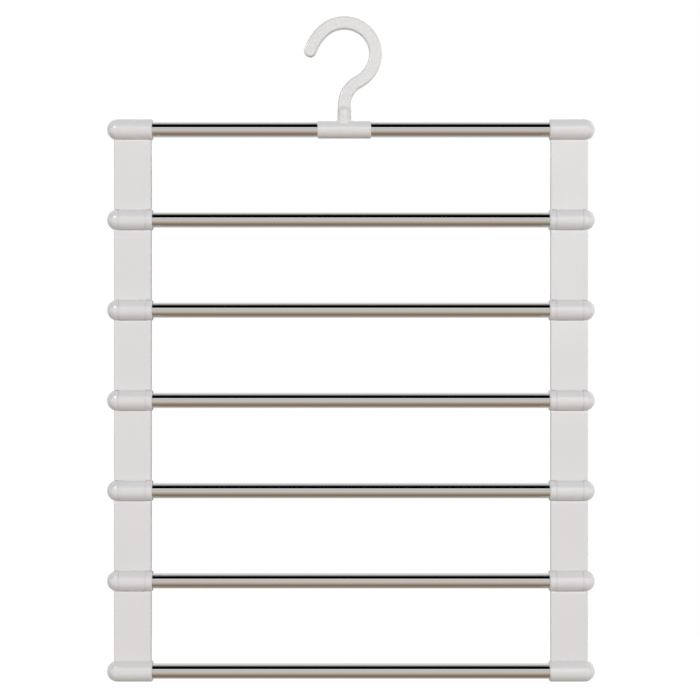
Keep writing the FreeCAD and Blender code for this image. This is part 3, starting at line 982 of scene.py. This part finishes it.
class HANGER_OT_stage(bpy.types.Operator):
    """Set up the floor, the lamps, the surroundings and the camera"""

    bl_idname = "hanger.stage"
    bl_label = "Studio Stage"

    def execute(self, context):
        settings = context.scene.hanger_stage
        context.scene.view_settings.view_transform = "Standard"
        self.camera(context.scene, settings)
        self.floor(settings)
        self.reflector(settings)
        self.grey_card(settings)
        self.lamps(settings)
        self.surround(context.scene, settings)
        return {"FINISHED"}

    @staticmethod
    def camera(scene, settings):
        """Stand the camera level in front of the hanger."""
        deselect_all()
        bpy.ops.object.camera_add(
            location=(settings.view_across, -settings.camera_distance, settings.view_height),
            rotation=(math.pi / 2, 0, 0))
        camera = bpy.context.object
        camera.data.lens = camera.data.sensor_width * settings.camera_distance / settings.view_width
        scene.camera = camera

    @staticmethod
    def floor(settings):
        """Lay a pale floor far below that looks white, keeps the shadow and is not mirrored."""
        deselect_all()
        level = CAD_BOX[0][2] - settings.floor_drop
        bpy.ops.mesh.primitive_plane_add(size=FLOOR_SIZE, location=(0, 0, level))
        floor = bpy.context.object
        floor.name = "floor"
        bpy.ops.object.transform_apply(location=True, rotation=True, scale=True)
        material, tree, shader = new_material("Pale Floor")
        shader.inputs["Base Color"].default_value = (*settings.floor_colour, 1.0)
        shader.inputs["Roughness"].default_value = FLOOR_ROUGHNESS
        shader.inputs["Emission Color"].default_value = WHITE
        path = add_node(tree, "ShaderNodeLightPath", "Who Looks", (-600, -200))
        seen = add_node(tree, "ShaderNodeMath", "Camera Or Mirror", (-300, -200))
        seen.operation = "MAXIMUM"
        glow = add_node(tree, "ShaderNodeMath", "White Level", (-100, -200))
        glow.operation = "MULTIPLY"
        glow.inputs[1].default_value = FLOOR_WHITE
        tree.links.new(path.outputs["Is Camera Ray"], seen.inputs[0])
        tree.links.new(path.outputs["Is Glossy Ray"], seen.inputs[1])
        tree.links.new(seen.outputs["Value"], glow.inputs[0])
        tree.links.new(glow.outputs["Value"], shader.inputs["Emission Strength"])
        material.cycles.emission_sampling = "NONE"
        floor.data.materials.append(material)
        floor.visible_glossy = False

    @staticmethod
    def reflector(settings):
        """Wrap a tunnel of bright cards and dark flags round the hanger, only mirrored."""
        deselect_all()
        bpy.ops.mesh.primitive_cylinder_add(
            vertices=TUNNEL_FACETS, radius=TUNNEL_RADIUS, depth=TUNNEL_LENGTH,
            end_fill_type="NOTHING",
            location=(0, 0, settings.view_height), rotation=(0, math.pi / 2, 0))
        tunnel = bpy.context.object
        tunnel.name = "reflection_cards"
        bpy.ops.object.transform_apply(location=False, rotation=True, scale=True)
        tree, glow = reflected_glow(tunnel, "Reflection Cards")
        links = tree.links
        position = add_node(tree, "ShaderNodeTexCoord", "Place", (-1000, 0))
        split = add_node(tree, "ShaderNodeSeparateXYZ", "Split", (-800, 0))
        forward = add_node(tree, "ShaderNodeMath", "Forwards", (-600, -100))
        forward.operation = "MULTIPLY"
        forward.inputs[1].default_value = -1.0
        elevation = add_node(tree, "ShaderNodeMath", "Elevation", (-400, 0))
        elevation.operation = "ARCTAN2"
        share = add_node(tree, "ShaderNodeMapRange", "Share Of A Turn", (-200, 0))
        share.inputs["From Min"].default_value = -math.pi
        share.inputs["From Max"].default_value = math.pi
        bands = add_node(tree, "ShaderNodeValToRGB", "Cards And Flags", (0, 0))
        links.new(position.outputs["Object"], split.inputs["Vector"])
        links.new(split.outputs["Y"], forward.inputs[0])
        links.new(split.outputs["Z"], elevation.inputs[0])
        links.new(forward.outputs["Value"], elevation.inputs[1])
        links.new(elevation.outputs["Value"], share.inputs["Value"])
        links.new(share.outputs["Result"], bands.inputs["Fac"])
        links.new(bands.outputs["Color"], glow.inputs["Color"])
        stops = bands.color_ramp.elements
        for stop, end in zip(stops, (0.0, 1.0)):
            stop.position = end
            stop.color = (*CARDS_BEHIND, 1.0)
        for degrees, colour in CARDS:
            stop = stops.new(0.5 + degrees / 360)
            stop.color = (*colour, 1.0)

    @staticmethod
    def grey_card(settings):
        """Stand a card behind the hanger for the links' inner edges to mirror, as a painted
        reflection that darkens those edges as painted shade.

        Its left side is black and its right side grey. It stands edge-on to the camera, so that
        the tubes do not mirror it.
        """
        # Painted shade: the card glows black and grey in reflections alone, to darken the links'
        # inner edges.
        deselect_all()
        bpy.ops.mesh.primitive_plane_add(
            size=1, location=(settings.view_across, CARD_BACK, settings.view_height - CARD_DROP),
            rotation=(0, math.pi / 2, 0))
        card = bpy.context.object
        card.name = "grey_card"
        bpy.ops.transform.resize(value=CARD_SIZE)
        bpy.ops.object.transform_apply(location=False, rotation=True, scale=True)
        tree, glow = reflected_glow(card, "Grey Card")
        side = add_node(tree, "ShaderNodeNewGeometry", "Which Side", (-400, 0))
        shade = add_node(tree, "ShaderNodeMix", "Grey Or Black", (-200, 0))
        shade.data_type = "RGBA"
        shade.inputs["A"].default_value = CARD_RIGHT_GREY
        shade.inputs["B"].default_value = BLACK
        tree.links.new(side.outputs["Backfacing"], shade.inputs["Factor"])
        tree.links.new(shade.outputs["Result"], glow.inputs["Color"])

    @staticmethod
    def lamps(settings):
        """Hang soft lamps in front, at both sides and behind, and a small one that only glints."""
        middle = Vector((0, 0, settings.view_height))
        for name, place_at, size, power in LAMPS:
            deselect_all()
            facing = (middle - Vector(place_at)).to_track_quat("-Z", "Y").to_euler()
            bpy.ops.object.light_add(type="AREA", location=place_at, rotation=facing)
            lamp = bpy.context.object
            lamp.name = name
            lamp.data.shape = "ELLIPSE"
            lamp.data.size, lamp.data.size_y = size
            lamp.data.energy = getattr(settings, power)
            lamp.visible_glossy = name == GLINT_LAMP
            lamp.visible_diffuse = name != GLINT_LAMP

    @staticmethod
    def surround(scene, settings):
        """Light the hanger softly from all round, and look white to the camera and in mirrors."""
        world = bpy.data.worlds.new("Studio")
        world.use_nodes = True
        scene.world = world
        tree = world.node_tree
        background = tree.nodes["Background"]
        position = add_node(tree, "ShaderNodeTexCoord", "Direction", (-1000, 300))
        split = add_node(tree, "ShaderNodeSeparateXYZ", "Split", (-800, 300))
        depth = add_node(tree, "ShaderNodeMapRange", "Depth", (-600, 300))
        depth.inputs["From Min"].default_value = -1.0
        soft = add_node(tree, "ShaderNodeMix", "Front To Back", (-400, 300))
        soft.data_type = "RGBA"
        soft.inputs["A"].default_value = (*settings.front_light, 1.0)
        soft.inputs["B"].default_value = (*settings.back_light, 1.0)
        path = add_node(tree, "ShaderNodeLightPath", "Who Looks", (-800, 0))
        seen = add_node(tree, "ShaderNodeMath", "Camera Or Mirror", (-600, 0))
        seen.operation = "MAXIMUM"
        through = add_node(tree, "ShaderNodeMath", "Or Through", (-400, 0))
        through.operation = "MAXIMUM"
        white = add_node(tree, "ShaderNodeMix", "White Where Seen", (-200, 200))
        white.data_type = "RGBA"
        white.inputs["B"].default_value = WHITE
        links = tree.links
        links.new(position.outputs["Generated"], split.inputs["Vector"])
        links.new(split.outputs["Y"], depth.inputs["Value"])
        links.new(depth.outputs["Result"], soft.inputs["Factor"])
        links.new(path.outputs["Is Camera Ray"], seen.inputs[0])
        links.new(path.outputs["Is Glossy Ray"], seen.inputs[1])
        links.new(seen.outputs["Value"], through.inputs[0])
        links.new(path.outputs["Is Transmission Ray"], through.inputs[1])
        links.new(through.outputs["Value"], white.inputs["Factor"])
        links.new(soft.outputs["Result"], white.inputs["A"])
        links.new(white.outputs["Result"], background.inputs["Color"])


OPERATORS = (HANGER_OT_tubes, HANGER_OT_links, HANGER_OT_hook, HANGER_OT_stage)


class HANGER_PT_panel(bpy.types.Panel):
    """List the hanger's operators and sizes"""

    bl_idname = "HANGER_PT_panel"
    bl_label = "Trouser Hanger"
    bl_space_type = "VIEW_3D"
    bl_region_type = "UI"
    bl_category = "Hanger"

    def draw(self, context):
        for operator in OPERATORS:
            self.layout.operator(operator.bl_idname)
        for name, group in SETTINGS.items():
            box = self.layout.box()
            for setting in group.__annotations__:
                box.prop(getattr(context.scene, name), setting)


CLASSES = (*SETTINGS.values(), *OPERATORS, HANGER_PT_panel)


def register():
    """Add the classes and settings."""
    for entry in CLASSES:
        bpy.utils.register_class(entry)
    for name, group in SETTINGS.items():
        setattr(bpy.types.Scene, name, bpy.props.PointerProperty(type=group))


def unregister():
    """Take the settings and classes away again."""
    for name in SETTINGS:
        delattr(bpy.types.Scene, name)
    for entry in reversed(CLASSES):
        bpy.utils.unregister_class(entry)


def main():
    """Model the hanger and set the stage."""
    register()
    bpy.ops.hanger.tubes()
    bpy.ops.hanger.links()
    bpy.ops.hanger.hook()
    bpy.ops.hanger.stage()


if __name__ == "__main__":
    main()
